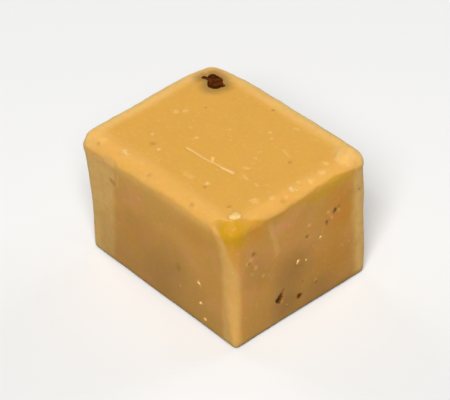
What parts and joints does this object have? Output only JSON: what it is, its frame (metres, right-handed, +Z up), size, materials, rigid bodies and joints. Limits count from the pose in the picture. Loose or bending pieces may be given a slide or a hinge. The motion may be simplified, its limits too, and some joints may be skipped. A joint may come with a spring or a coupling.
{
  "type": "fudge cube",
  "caption": "Bite-sized block of butter fudge, cut by hand, with soft rounded top edges and raisin pieces set in its faces.",
  "frame": {"origin": "middle of the flat underside", "axes": "+X along the length, +Y along the width and away from the front face, +Z up"},
  "size_m": [0.0273, 0.0216, 0.0178],
  "materials": {
    "fudge": "soft satin, slightly waxy butter fudge",
    "raisin": "wrinkled dark raisin, slightly glossy"
  },
  "bodies": {
    "root": {"fudge_block": "fudge", "raisin_top": "raisin", "raisin_back": "raisin", "raisin_left": "raisin"}
  },
  "joints": []
}
